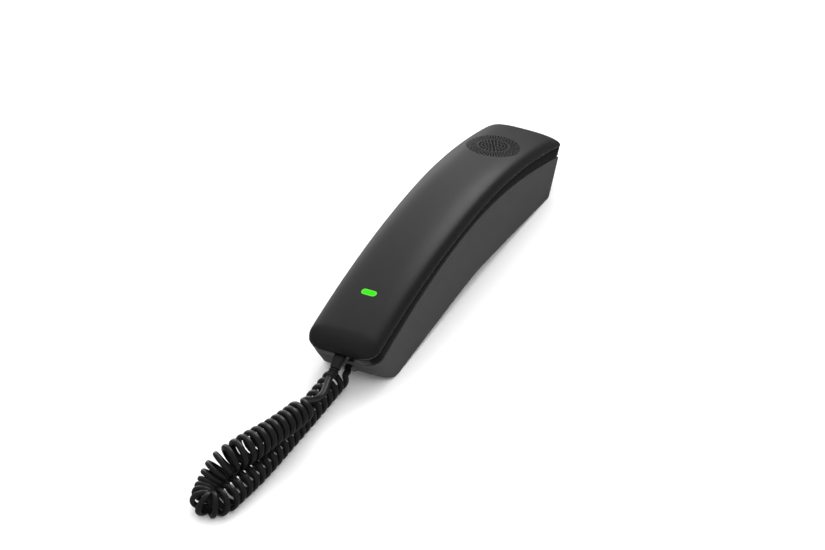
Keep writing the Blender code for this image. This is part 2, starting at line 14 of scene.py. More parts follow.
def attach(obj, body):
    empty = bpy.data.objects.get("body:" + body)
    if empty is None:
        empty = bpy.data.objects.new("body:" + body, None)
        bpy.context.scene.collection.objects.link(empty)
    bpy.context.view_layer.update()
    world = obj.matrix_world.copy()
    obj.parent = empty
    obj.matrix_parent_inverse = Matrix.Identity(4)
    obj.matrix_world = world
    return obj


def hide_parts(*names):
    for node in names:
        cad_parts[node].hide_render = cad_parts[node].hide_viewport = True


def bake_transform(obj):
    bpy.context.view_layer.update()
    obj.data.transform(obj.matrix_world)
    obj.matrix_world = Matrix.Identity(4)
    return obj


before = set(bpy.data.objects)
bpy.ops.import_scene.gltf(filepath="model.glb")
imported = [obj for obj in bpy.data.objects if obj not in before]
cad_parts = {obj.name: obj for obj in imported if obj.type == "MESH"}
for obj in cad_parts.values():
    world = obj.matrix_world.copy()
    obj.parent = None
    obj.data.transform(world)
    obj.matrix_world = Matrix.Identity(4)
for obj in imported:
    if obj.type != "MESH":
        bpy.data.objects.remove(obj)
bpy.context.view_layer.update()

# ---------------------------------------------------------------- dimensions shared with the CAD
HALF_WIDTH = 0.0210
HALF_LENGTH = 0.1201
GAP = 0.0003
WALL = 0.0018
PARTING = (0.0140, 0.0446, 0.4650, 0.2800, 1.00)
RIM = (0.0070, 0.0401, 0.2970, 0.2510, 0.50)
UNDERSIDE = (0.0055, 0.0066, 0.1900, 0.1900, 0.08)
UNDERCUTS = (0.740, 0.640)
HANDSET_CORNERS = (0.0085, 0.0036)
BASE_CORNERS = (0.0085, 0.0020)
END_FALLS = ((0.0100, 0.0056), (0.0170, 0.0072))
BACK_HEIGHT = 0.0082
ROUNDNESS = 2.9            # exponent of the back's section, a flattened ellipse
FRONT_DEPTH = 0.0098
BAND_CLEARANCE = 0.0008
NEST_HALF_WIDTH = 0.0182
NEST_INSET = 0.0030
RIM_WALL = 0.0023
TRAY_FLOOR = 0.0020
TRAY_DEPTH = FRONT_DEPTH + 0.0006
HEELS = (0.0115, 0.0030)
COVER_THICKNESS = 0.0020
KEY_PITCH = (0.0113, 0.0102)
TOP_ROW_Y = 0.0200
KEY_SIZE = (0.0088, 0.0062)
KEY_PROUD = 0.0008
GRILLE_Y = 0.0724
LENS_Y = -0.0832
LENS_SIZE = (0.0090, 0.0044)
BOARD_Z = 0.0158
BOARD_THICKNESS = 0.0012
HOOK_Y = 0.0600
HOOK_TRAVEL = 0.0030
JACK_X = 0.0084
JACK_FACE_Y = 0.1010
JACK_SIZE = (0.0160, 0.0150, 0.0108)
JACK_Z = BOARD_Z - GAP - JACK_SIZE[2] / 2
BASE_SCREWS = ((-0.0136, -0.0700), (0.0136, -0.0700), (-0.0136, 0.0760), (0.0136, 0.0760))
HANDSET_SCREWS = (-0.0660, 0.0580)
KEY_ROWS = (("1", "2", "3"), ("4", "5", "6"), ("7", "8", "9"), ("star", "0", "hash"),
            ("volume_down", "mute", "volume_up"))

# Grille: rings of round holes, then slots on spokes. A slot is (middle, length) along its spoke.
GRILLE_RINGS = 4
RING_SPACING = 0.00190
HOLE_RADIUS = 0.00080
SPOKES = 56
EVEN_SLOTS = ((0.0097, 0.0018), (0.0119, 0.0020), (0.0142, 0.0020))
ODD_SLOTS = ((0.0108, 0.0020), (0.0130, 0.0018), (0.0147, 0.0010))
SLOT_WIDENING = 0.070      # a slot's width over its distance from the middle
# Heights of the back's lowest points, which carry its painted highlight: a lighter strip along the
# lower edge.
EDGE_LEVELS = (0.0, 0.00004, 0.00010, 0.00018, 0.00030)
EDGE_RADIUS = 0.00030

# The coil's own centre line, from its handset end round the loop to its base end.
COIL_ROUTE = (
    (0.0034, -0.1690, 0.0216), (0.0022, -0.1790, 0.0220), (0.0002, -0.1885, 0.0221),
    (-0.0022, -0.1980, 0.0221), (-0.0048, -0.2075, 0.0220), (-0.0078, -0.2165, 0.0217),
    (-0.0110, -0.2235, 0.0205), (-0.0137, -0.2285, 0.0178), (-0.0154, -0.2325, 0.0142),
    (-0.0162, -0.2362, 0.0108), (-0.0163, -0.2408, 0.0084), (-0.0151, -0.2456, 0.0074),
    (-0.0119, -0.2480, 0.0070), (-0.0081, -0.2458, 0.0070), (-0.0056, -0.2408, 0.0070),
    (-0.0050, -0.2350, 0.0070), (-0.0042, -0.2270, 0.0070), (-0.0031, -0.2150, 0.0070),
    (-0.0024, -0.2000, 0.0070), (-0.0024, -0.1800, 0.0070), (-0.0024, -0.1600, 0.0070),
    (-0.0025, -0.1400, 0.0070), (-0.0028, -0.1165, 0.0070),
)
# The straight leads that run into the coil's first and last turns.
HANDSET_LEAD = (
    (0.0000, -0.1280, 0.0178), (0.0001, -0.1307, 0.0169), (0.0005, -0.1338, 0.0165),
    (0.0017, -0.1386, 0.0162), (0.0030, -0.1440, 0.0164), (0.0034, -0.1495, 0.0173),
    (0.0034, -0.1550, 0.0195), (0.0033, -0.1602, 0.0224), (0.0031, -0.1640, 0.0248),
    (0.0033, -0.1668, 0.0263),
)
BASE_LEAD = (
    (0.0022, -0.1138, 0.0110), (0.0010, -0.1114, 0.0106), (0.0002, -0.1094, 0.0101),
    (0.0000, -0.1070, 0.0100), (0.0000, -0.1050, 0.0100),
)
LEAD_WIRE = (0.0038, 0.0026)        # width and thickness
COIL_THICKNESS = 0.0029
COIL_RADIUS = 0.0055
START_ANGLE = math.radians(80)      # where the leads meet the coil, from the side over the top
END_ANGLE = math.radians(150)
# Distance along the coil, and there: distance between turns, the coil's radius, the wire's width.
PITCHES = ((0.000, 0.0051), (0.060, 0.0052), (0.072, 0.0038), (0.088, 0.0036), (0.106, 0.0064),
           (0.220, 0.0065))
RADII = ((0.000, 0.0055), (0.020, 0.0058), (0.045, 0.0070), (0.060, 0.0069), (0.078, 0.0060),
         (0.110, 0.0062), (0.140, COIL_RADIUS))
WIDTHS = ((0.000, 0.0040), (0.045, 0.0038), (0.065, 0.0031), (0.090, 0.0032), (0.115, 0.0038))
RISING_SHARE = 0.42        # part of the coil, from the handset, that gets weights above zero

# Name, azimuth from +Y towards +X, elevation, strength, apparent angle, and whether it makes
# highlights.
LIGHTS = (
    ("back_light", 2.0, 41.0, 0.95, 32.0, True),
    ("left_light", -34.0, 34.0, 0.36, 50.0, True),
    ("rim_light", -42.0, 7.0, 0.36, 32.0, True),
    ("over_light", -80.0, 72.0, 0.14, 50.0, True),
    ("top_light", 185.0, 72.0, 3.30, 120.0, False),
    ("side_light", 85.0, 22.0, 0.60, 50.0, False),
)


# ---------------------------------------------------------------- shapes of the side view
def arch(y, curve):
    """Height of an arch at y: a hyperbola that is round at its apex."""
    apex_y, apex_z, near_radius, far_radius, slope = curve
    reach = slope * (near_radius if y < apex_y else far_radius)
    return apex_z - slope * (math.hypot(reach, y - apex_y) - reach)


def incline(y, curve):
    """Angle of an arch at y, positive where it falls towards the far end."""
    step = 0.0005
    return math.atan((arch(y - step, curve) - arch(y + step, curve)) / (2 * step))


def slanted(s, x, z):
    """Point of station s at height z. Stations fan out, so that both ends are slanted."""
    below = max(0.0, arch(s, PARTING) - z)
    undercut = UNDERCUTS[0] if s < 0 else UNDERCUTS[1]
    return Vector((x, s * (1.0 - undercut * below / HALF_LENGTH), z))


def on_arch(s, x, curve, offset=0.0):
    """Point of station s on an arch that is shifted up by offset."""
    z = arch(s, curve) + offset
    for _ in range(8):
        z = arch(slanted(s, x, z).y, curve) + offset
    return slanted(s, x, z)


def fall(distance, length, depth=None):
    """How far an elliptic end falls back, at a distance from the end."""
    if distance >= length:
        return 0.0
    share = 1.0 - max(0.0, distance) / length
    return (length if depth is None else depth) * (1.0 - math.sqrt(max(0.0, 1.0 - share ** 2)))


def face_place(y, offset=0.0, level=-FRONT_DEPTH):
    """Place on the handset's inner face at y, with local Z pointing into the handset."""
    angle = incline(y, PARTING)
    normal = Vector((0.0, math.sin(angle), math.cos(angle)))
    centre = Vector((0.0, y, arch(y, PARTING) + level)) + normal * offset
    return Matrix.Translation(centre) @ Matrix.Rotation(-angle, 4, "X")


def back_place(y, offset=0.0):
    """Place on the top of the handset's back at y, with local Z pointing outwards."""
    return face_place(y, offset, BACK_HEIGHT)


def key_place(row, col):
    """Place of a key on the handset's inner face."""
    return (Matrix.Translation(((1 - col) * KEY_PITCH[0], 0.0, 0.0))
            @ face_place(TOP_ROW_Y - row * KEY_PITCH[1]))


# ---------------------------------------------------------------- materials
def grained(name, colour, roughness, grain=0.0, grain_scale=1600.0, vary=0.12, metallic=0.0,
            specular=0.5, emission=None):
    """A moulded or rolled surface: mottled colour and roughness, and a fine bump."""
    mat = bpy.data.materials.new(name)
    mat.use_nodes = True
    nodes = mat.node_tree.nodes
    links = mat.node_tree.links
    shader = nodes["Principled BSDF"]
    shader.inputs["Metallic"].default_value = metallic
    shader.inputs["Specular IOR Level"].default_value = specular
    coordinates = nodes.new("ShaderNodeTexCoord")

    mottle = nodes.new("ShaderNodeTexNoise")
    mottle.inputs["Scale"].default_value = 160.0
    mottle.inputs["Detail"].default_value = 3.0
    links.new(coordinates.outputs["Object"], mottle.inputs["Vector"])
    ramp = nodes.new("ShaderNodeValToRGB")
    ramp.color_ramp.elements[0].position = 0.30
    ramp.color_ramp.elements[1].position = 0.70
    for element, share in zip(ramp.color_ramp.elements, (1.0 - vary, 1.0 + vary)):
        element.color = (*(min(1.0, c * share) for c in colour), 1.0)
    links.new(mottle.outputs["Fac"], ramp.inputs["Fac"])
    links.new(ramp.outputs["Color"], shader.inputs["Base Color"])

    spread = nodes.new("ShaderNodeMapRange")
    spread.inputs["To Min"].default_value = roughness * 0.93
    spread.inputs["To Max"].default_value = min(1.0, roughness * 1.07)
    links.new(mottle.outputs["Fac"], spread.inputs["Value"])
    links.new(spread.outputs["Result"], shader.inputs["Roughness"])

    if grain:
        fine = nodes.new("ShaderNodeTexNoise")
        fine.inputs["Scale"].default_value = grain_scale
        fine.inputs["Detail"].default_value = 2.0
        links.new(coordinates.outputs["Object"], fine.inputs["Vector"])
        bump = nodes.new("ShaderNodeBump")
        bump.inputs["Strength"].default_value = grain
        bump.inputs["Distance"].default_value = 0.00008
        links.new(fine.outputs["Fac"], bump.inputs["Height"])
        links.new(bump.outputs["Normal"], shader.inputs["Normal"])
    if emission:
        shader.inputs["Emission Color"].default_value = (*emission[0], 1.0)
        shader.inputs["Emission Strength"].default_value = emission[1]
    return mat


SHELL_BLACK = grained("satin_black_shell", (0.0060, 0.0060, 0.0062), 0.40, 0.25, 2600.0, 0.10,
                      specular=0.36)
# A lighter black for the back's lowest strip: a painted highlight along its lower edge.
PAINTED_EDGE_HIGHLIGHT = grained("satin_black_painted_highlight", (0.1500, 0.1500, 0.1530), 0.45, 0.25, 2600.0, 0.20,
                     specular=0.36)
BAND_BLACK = grained("gloss_black_band", (0.0022, 0.0022, 0.0023), 0.16, 0.05, 900.0, 0.15,
                     specular=0.05)
BASE_GREY = grained("matt_charcoal_base", (0.0500, 0.0500, 0.0508), 0.60, 0.45, 2200.0, 0.05,
                    specular=0.22)
FACE_BLACK = grained("gloss_black_face", (0.0060, 0.0060, 0.0062), 0.26, 0.08, 900.0, 0.15,
                     specular=0.45)
DARK = grained("black_plastic_fine", (0.0120, 0.0120, 0.0120), 0.50, 0.30, 1800.0, 0.15)
KEY_BLACK = grained("key_plastic_fine", (0.0100, 0.0100, 0.0102), 0.45, 0.30, 2400.0, 0.12)
RUBBER = grained("black_rubber_fine", (0.0110, 0.0110, 0.0112), 0.62, 0.40, 1500.0, 0.20)
JACKET = grained("cord_jacket_fine", (0.0045, 0.0045, 0.0046), 0.34, 0.10, 700.0, 0.18,
                 specular=0.45)
BOARD = grained("circuit_board_fine", (0.0140, 0.0900, 0.0350), 0.45, 0.20, 500.0, 0.25)
STEEL = grained("steel_fine", (0.45, 0.45, 0.46), 0.38, 0.20, 900.0, 0.08, 1.0)
NICKEL = grained("nickel_fine", (0.62, 0.61, 0.58), 0.28, 0.10, 1200.0, 0.06, 1.0)
CAN = grained("aluminium_can_fine", (0.70, 0.70, 0.71), 0.30, 0.15, 1500.0, 0.06, 1.0)
GOLD = grained("contact_gold", (0.83, 0.62, 0.24), 0.25, 0.05, 1200.0, 0.05, 1.0)
PLUG = grained("clear_plug_fine", (0.10, 0.10, 0.105), 0.18, 0.05, 800.0, 0.08)
LEGEND = grained("legend_print", (0.52, 0.52, 0.52), 0.55, 0.10, 2000.0, 0.06)
GREEN = grained("green_lens_lit", (0.005, 0.10, 0.001), 0.30, 0.05, 900.0, 0.08, specular=0.20,
                emission=((0.040, 0.680, 0.0), 1.0))
GREEN_RIM = grained("green_lens_rim", (0.03, 0.14, 0.01), 0.30, 0.05, 900.0, 0.08, specular=0.20,
                    emission=((0.110, 0.800, 0.040), 1.0))


# ---------------------------------------------------------------- mesh helpers
def finish(bm, name, body=None, mats=(), replaces=(), sharp=35.0):
    """Turn a bmesh into a piece that rides on a body. Without a body it is a cutter."""
    bmesh.ops.recalc_face_normals(bm, faces=bm.faces)
    mesh = bpy.data.meshes.new(name)
    bm.to_mesh(mesh)
    bm.free()
    obj = bpy.data.objects.new(name, mesh)
    bpy.context.scene.collection.objects.link(obj)
    for mat in mats:
        mesh.materials.append(mat)
    if body:
        smooth(obj, sharp)
        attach(obj, body)
        if replaces:
            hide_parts(*replaces)
    return obj


def smooth(obj, sharp=35.0):
    """Smooth shading that keeps the sharp edges."""
    obj.data.shade_smooth()
    obj.data.set_sharp_from_angle(angle=math.radians(sharp))


def add_rings(bm, rings, caps=True, closed=True):
    """Join rings of equal counts. Returns the rows of vertices."""
    rows = [[bm.verts.new(point) for point in ring] for ring in rings]
    count = len(rows[0])
    for row, following in zip(rows, rows[1:]):
        for k in range(count if closed else count - 1):
            after = (k + 1) % count
            bm.faces.new((row[k], row[after], following[after], following[k]))
    if caps:
        bm.faces.new(rows[0])
        bm.faces.new(rows[-1])
    return rows


def cut(obj, tool):
    """Cut a tool from an object at once, and remove the tool.

    A tool that crosses itself can make the cut remove the whole object, so that is an error.
    """
    modifier = obj.modifiers.new(tool.name, "BOOLEAN")
    modifier.operation = "DIFFERENCE"
    modifier.solver = "EXACT"
    modifier.object = tool
    graph = bpy.context.evaluated_depsgraph_get()
    mesh = bpy.data.meshes.new_from_object(obj.evaluated_get(graph))
    obj.modifiers.clear()
    old = obj.data
    if sum(p.area for p in mesh.polygons) < 0.5 * sum(p.area for p in old.polygons):
        raise RuntimeError(f"{tool.name} removed most of {obj.name}")
    obj.data = mesh
    bpy.data.meshes.remove(old)
    bpy.data.objects.remove(tool)


def add_box(bm, centre, size, tilt=0.0):
    """A box, turned by tilt about X."""
    turned = Matrix.Translation(centre) @ Matrix.Rotation(tilt, 4, "X")
    bmesh.ops.create_cube(bm, size=1.0, matrix=turned @ Matrix.Diagonal((*size, 1.0)))


def rounded(width, depth, radius, steps=5):
    """Outline of a rectangle with round corners, as (x, y) points."""
    points = []
    for quarter in range(4):
        cx = (width / 2 - radius) * (1 if quarter in (0, 3) else -1)
        cy = (depth / 2 - radius) * (1 if quarter < 2 else -1)
        for k in range(steps + 1):
            angle = math.pi / 2 * (quarter + k / steps)
            points.append((cx + radius * math.cos(angle), cy + radius * math.sin(angle)))
    return points


def add_prism(bm, place, levels, steps=5):
    """A piece of rounded rectangles. levels lists (width, depth, radius, height)."""
    return add_rings(bm, [[place @ Vector((x, y, level))
                           for x, y in rounded(width, depth, radius, steps)]
                          for width, depth, radius, level in levels])


def add_turned(bm, place, profile, segments=24):
    """A piece turned about its place's Z. profile lists (radius, height)."""
    angles = [2 * math.pi * k / segments for k in range(segments)]
    return add_rings(bm, [[place @ Vector((radius * math.cos(a), radius * math.sin(a), level))
                           for a in angles] for radius, level in profile])


# ---------------------------------------------------------------- covers as nested loops
CORNER_STEPS = 10
SIDE_STEPS = 84
END_STEPS = 6


def plan(half_width, insets, corners):
    """The right side of an outline in plan, as (x, s) points from the cord end."""
    near = -HALF_LENGTH + insets[0]
    far = HALF_LENGTH - insets[1]
    right = []
    for k in range(CORNER_STEPS + 1):
        angle = math.pi / 2 * (1 - k / CORNER_STEPS)
        right.append((half_width - corners[0] * (1 - math.cos(angle)),
                      near + corners[0] * (1 - math.sin(angle))))
    start = near + corners[0]
    end = far - corners[1]
    for k in range(1, SIDE_STEPS):
        u = k / SIDE_STEPS
        u = u - 0.11 * math.sin(2 * math.pi * u)        # closer together near the ends
        right.append((half_width, start + (end - start) * u))
    for k in range(CORNER_STEPS + 1):
        angle = math.pi / 2 * k / CORNER_STEPS
        right.append((half_width - corners[1] * (1 - math.cos(angle)),
                      far - corners[1] * (1 - math.sin(angle))))
    return right


def loop(half_width, insets, corners, curve, offset, heels=None):
    """A closed loop of points on an arch: right side, far end, left side, near end."""
    def at(x, s):
        rise = 0.0
        if heels:
            rise = fall(s + HALF_LENGTH, heels[0]) + fall(HALF_LENGTH - s, heels[1])
        return on_arch(s, x, curve, offset + rise)
    right = plan(half_width, insets, corners)
    left = [(-x, s) for x, s in reversed(right)]
    points = [at(x, s) for x, s in right]
    for begin, end, following in ((right[-1], left[0], left), (left[-1], right[0], ())):
        for k in range(1, END_STEPS):
            points.append(at(begin[0] + (end[0] - begin[0]) * k / END_STEPS, begin[1]))
        points += [at(x, s) for x, s in following]
    return points


def add_nested(bm, loops):
    """Join nested loops, and close the first and the last with strips across the width."""
    rows = add_rings(bm, loops, caps=False)
    side = len(plan(HALF_WIDTH, (0, 0), (0.001, 0.001)))
    for row in (rows[0], rows[-1]):
        right = row[:side]
        far = row[side:side + END_STEPS - 1]
        left = list(reversed(row[side + END_STEPS - 1:2 * side + END_STEPS - 1]))
        near = row[2 * side + END_STEPS - 1:]
        for k in range(side - 1):
            face = [right[k], right[k + 1]]
            if k == side - 2:
                face += far
            face += [left[k + 1], left[k]]
            if k == 0:
                face += near
            bm.faces.new(face)
    return rows


def edge_round(radius, steps=4):
    """(inset, drop) pairs of a rounded edge, from the face to the wall."""
    pairs = []
    for k in range(steps + 1):
        angle = math.pi / 2 * k / steps
        pairs.append((radius * (1 - math.sin(angle)), radius * (1 - math.cos(angle))))
    return pairs


def shrunk(half_width, insets, corners, inset):
    """A plan that is drawn in by inset all round."""
    return (half_width - inset, tuple(i + inset for i in insets),
            tuple(max(0.0002, c - inset) for c in corners))


# ---------------------------------------------------------------- base
def make_base():
    """The base's housing: one closed shell with a tray above and a cavity below."""
    tray = (HALF_WIDTH - RIM_WALL, (RIM_WALL, RIM_WALL), (0.0062, 0.0020))
    outer = (HALF_WIDTH, (0.0, 0.0), BASE_CORNERS)
    cavity = (HALF_WIDTH - 0.0022, (0.0105, 0.0032), (0.0030, 0.0030))
    loops = []
    for inset, rise in reversed([(0.0005 - a, b) for a, b in edge_round(0.0005)]):
        loops.append(loop(*shrunk(*tray, inset), PARTING, -TRAY_DEPTH + 0.0005 - rise))
    for inset, drop in reversed(edge_round(0.0003)):
        loops.append(loop(*shrunk(*tray, inset - 0.0003), RIM, -drop))
    for inset, drop in edge_round(0.0004):
        loops.append(loop(*shrunk(*outer, inset), RIM, -drop))
    foot = 0.0005
    for inset, drop in reversed(edge_round(foot)):
        loops.append(loop(*shrunk(*outer, inset), UNDERSIDE, drop, HEELS))
    begin = shrunk(*outer, foot)
    for u in (0.02, 0.05, 0.10, 0.17, 0.26, 0.38, 0.54, 0.75, 1.0):
        mix = (begin[0] + (cavity[0] - begin[0]) * u,
               tuple(a + (b - a) * u for a, b in zip(begin[1], cavity[1])),
               tuple(a + (b - a) * u for a, b in zip(begin[2], cavity[2])))
        loops.append(loop(*mix, UNDERSIDE, 0.0, HEELS))
    loops.append(loop(*cavity, PARTING, -TRAY_DEPTH - TRAY_FLOOR))
    bm = bmesh.new()
    add_nested(bm, loops)
    housing = finish(bm, "base_shell", mats=(BASE_GREY,))

    keys_inset = HALF_LENGTH - 0.0275
    recess = (0.0172, (keys_inset, keys_inset), (0.0020, 0.0020))
    bm = bmesh.new()
    add_nested(bm, [loop(*recess, PARTING, -0.004),
                    loop(*recess, PARTING, -TRAY_DEPTH - KEY_PROUD)])
    cut(housing, finish(bm, "recess_cutter"))
    hook = face_place(HOOK_Y).to_translation()
    bm = bmesh.new()
    add_prism(bm, Matrix.Translation((0.0, HOOK_Y, hook.z - 0.002)),
              ((0.0086, 0.0066, 0.0008, -0.006), (0.0086, 0.0066, 0.0008, 0.006)))
    add_box(bm, (0.0, -0.0942, 0.0095), (0.0122, 0.0142, 0.0136))
    for x in (-JACK_X, JACK_X):
        add_box(bm, (x, 0.1120, JACK_Z), (JACK_SIZE[0] + GAP, 0.0160, JACK_SIZE[2] + GAP))
    cut(housing, finish(bm, "opening_cutter"))
    bm = bmesh.new()
    mouth = Matrix.Translation((0.0, -0.1080, 0.0100)) @ Matrix.Rotation(math.pi / 2, 4, "X")
    add_prism(bm, mouth, ((0.0088, 0.0078, 0.0010, -0.008), (0.0088, 0.0078, 0.0010, 0.008)))
    cut(housing, finish(bm, "mouth_cutter"))
    smooth(housing)
    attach(housing, "base")
    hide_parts("base_housing")

    bm = bmesh.new()
    for x, y in BASE_SCREWS:
        roof = arch(y, PARTING) - FRONT_DEPTH - 0.0018
        floor = arch(y, UNDERSIDE) + COVER_THICKNESS + 3 * GAP
        place = Matrix.Translation((x, y, 0.0))
        add_turned(bm, place, ((0.0028, floor), (0.0028, roof), (0.0013, roof), (0.0013, floor)))
    finish(bm, "base_posts", "base", (BASE_GREY,))


def make_jack_details():
    """Contact springs in each of the two sockets at the far end."""
    for name, x in (("network_contacts", -JACK_X), ("computer_contacts", JACK_X)):
        bm = bmesh.new()
        for k in range(8):
            px = x + (k - 3.5) * 0.00102
            rings = []
            for y, z in ((-0.0110, 0.0034), (-0.0090, 0.0030), (-0.0060, 0.0012),
                         (-0.0030, -0.0004), (-0.0026, -0.0002)):
                centre = Vector((px, JACK_FACE_Y + y, JACK_Z - 0.0006 + z))
                rings.append([centre + Vector((dx * 0.00020, 0.0, dz * 0.00013))
                              for dx, dz in ((-1, -1), (1, -1), (1, 1), (-1, 1))])
            add_rings(bm, rings)
        finish(bm, name, "base", (GOLD,))


def make_hook():
    """The plunger that the handset holds down, with rounded edges."""
    face = face_place(HOOK_Y).to_translation().z
    roof = face - 0.0006 - TRAY_FLOOR
    collar = roof - HOOK_TRAVEL - 5 * GAP
    low = BOARD_Z + BOARD_THICKNESS + 0.0012
    bm = bmesh.new()
    add_prism(bm, Matrix.Translation((0.0, HOOK_Y, 0.0)),
              ((0.0026, 0.0026, 0.0003, low), (0.0026, 0.0026, 0.0003, collar - 0.0012),
               (0.0106, 0.0084, 0.0008, collar - 0.0012), (0.0110, 0.0088, 0.0010, collar - 0.0010),
               (0.0110, 0.0088, 0.0010, collar - 0.0002), (0.0106, 0.0084, 0.0008, collar),
               (0.0078, 0.0058, 0.0008, collar), (0.0078, 0.0058, 0.0008, face - 0.0016),
               (0.0075, 0.0055, 0.0010, face - 0.0012), (0.0068, 0.0048, 0.0012, face - 0.0010),
               (0.0050, 0.0032, 0.0010, face - 0.0009)))
    finish(bm, "hook_button", "hook_plunger", (DARK,), ("hook_plunger",), 40)


# ---------------------------------------------------------------- handset
def make_front():
    """The handset's front cover: the glossy band and the sunk face that carries the keys."""
    room = (NEST_HALF_WIDTH - WALL, (NEST_INSET + WALL, NEST_INSET + WALL), (0.0040, 0.0020))
    band = (HALF_WIDTH - GAP, (0.0, 0.0), HANDSET_CORNERS)
    nest = (NEST_HALF_WIDTH, (NEST_INSET, NEST_INSET), (0.0055, 0.0030))
    loops = [loop(*room, PARTING, -FRONT_DEPTH + WALL), loop(*room, PARTING, -GAP / 2)]
    for inset, drop in edge_round(0.00025):
        loops.append(loop(*shrunk(*band, inset), PARTING, -GAP / 2 - drop))
    for inset, drop in reversed(edge_round(0.0006)):
        loops.append(loop(*shrunk(*band, inset), RIM, BAND_CLEARANCE + drop))
    loops.append(loop(*nest, RIM, BAND_CLEARANCE))
    for inset, drop in reversed(edge_round(0.0012)):
        loops.append(loop(*shrunk(*nest, inset), PARTING, -FRONT_DEPTH + drop))
    bm = bmesh.new()
    add_nested(bm, loops)
    front = finish(bm, "front_shell", mats=(BAND_BLACK,))

    bm = bmesh.new()
    for row, names in enumerate(KEY_ROWS):
        for col, _ in enumerate(names):
            hole = (KEY_SIZE[0] + 2 * GAP, KEY_SIZE[1] + 2 * GAP, 0.0014)
            add_prism(bm, key_place(row, col), ((*hole, -0.003), (*hole, 0.003)))
    for x in (-0.0050, 0.0, 0.0050):
        place = face_place(0.0900) @ Matrix.Translation((x, 0.0, 0.0))
        add_prism(bm, place, ((0.0014, 0.0120, 0.0006, -0.004), (0.0014, 0.0120, 0.0006, 0.004)))
    add_turned(bm, face_place(-0.0980), ((0.0011, -0.004), (0.0011, 0.004)), 16)
    for y in HANDSET_SCREWS:
        add_turned(bm, face_place(y), ((0.0023, -0.004), (0.0023, 0.0014)), 20)
    cut(front, finish(bm, "front_cutter"))
    bm = bmesh.new()
    angle = math.atan(0.54)
    add_box(bm, (0.0, -0.1172, 0.0230), (0.0070, 0.0120, 0.0044), angle)
    cut(front, finish(bm, "cord_cutter"))
    bm = bmesh.new()
    add_box(bm, (0.0, -0.1138, 0.0247), (0.0098, 0.0036, 0.0048), angle)
    cut(front, finish(bm, "flange_cutter"))
    front.data.materials.append(FACE_BLACK)
    for face in front.data.polygons:
        if face.normal.z < -0.5:
            face.material_index = 1
    smooth(front)
    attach(front, "handset")
    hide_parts("handset_front_cover")


def back_stations(inset):
    """Stations of the back cover, close together where its ends fall."""
    near = -HALF_LENGTH + inset
    far = HALF_LENGTH - inset
    lengths = [pair[0] - inset for pair in END_FALLS]
    near_steps, far_steps, middle = 18, 22, 80
    first = [near + lengths[0] * (1 - math.cos(math.pi / 2 * k / near_steps))
             for k in range(near_steps + 1)]
    last = [far - lengths[1] * (1 - math.cos(math.pi / 2 * k / far_steps))
            for k in range(far_steps + 1)]
    start, end = first[-1], last[-1]
    return (first + [start + (end - start) * k / middle for k in range(1, middle)]
            + list(reversed(last)))


def back_row(s, inset, edge):
    """Points of the back cover's section at a station: right edge over the crown to the left."""
    ends = (s + HALF_LENGTH - inset, HALF_LENGTH - inset - s)
    corners = [radius - inset for radius in HANDSET_CORNERS]
    w = HALF_WIDTH - inset - sum(map(fall, ends, corners))
    top = BACK_HEIGHT - inset - sum(fall(d, length - inset, depth - inset)
                                    for d, (length, depth) in zip(ends, END_FALLS))
    share = min(1.0, top / 0.0020)
    radius = edge * share
    # The outward direction in plan: along X on the sides, along Y at the very ends.
    nears = [max(0.0, 1 - max(0.0, d) / c) for d, c in zip(ends, corners)]
    along = nears[1] - nears[0]
    normal = Vector((math.sqrt(max(0.0, 1 - along ** 2)), along, 0.0))
    levels = [share * level for level in EDGE_LEVELS]
    power = 2 / ROUNDNESS
    angles = [math.asin(min(1.0, level / top) ** (1 / power)) for level in levels]
    steps = 23
    angles += [angles[-1] + (math.pi / 2 - angles[-1]) * k / steps for k in range(1, steps + 1)]
    low = on_arch(s, 0.0, PARTING, GAP / 2).z
    half = []
    for angle in angles:
        x = w * max(0.0, math.cos(angle)) ** power
        z = top * math.sin(angle) ** power
        point = slanted(s, 0.0 if angle == angles[-1] else x, low + z)
        if radius and z < radius:
            point -= normal * (radius - math.sqrt(radius ** 2 - (radius - max(0.0, z)) ** 2))
        half.append(point)
    return half + [Vector((-p.x, p.y, p.z)) for p in reversed(half[:-1])]


